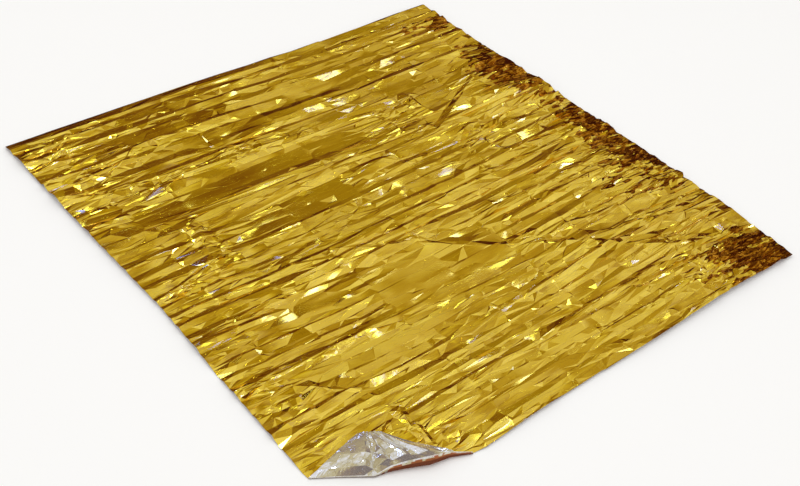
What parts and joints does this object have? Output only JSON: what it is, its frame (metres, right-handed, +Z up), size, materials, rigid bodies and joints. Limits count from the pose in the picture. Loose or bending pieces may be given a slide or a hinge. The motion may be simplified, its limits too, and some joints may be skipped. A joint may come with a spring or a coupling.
{
  "type": "emergency foil blanket",
  "caption": "Square sheet of crinkled metallised film, gold above and silver beneath, laid out flat with one corner turned over.",
  "frame": {"origin": "centre of the blanket's outline, on the surface it lies on", "axes": "+X along the long pack creases, +Y across them from the edge with the turned corner to the opposite edge, +Z up"},
  "size_m": [1.6358, 1.66, 0.0304],
  "materials": {
    "gold_film": "thin polyester film with a mirror metal coat, amber lacquer on the upper side and bare silver beneath, creased all over"
  },
  "bodies": {
    "root": {"foil_sheet": "gold_film"}
  },
  "joints": []
}
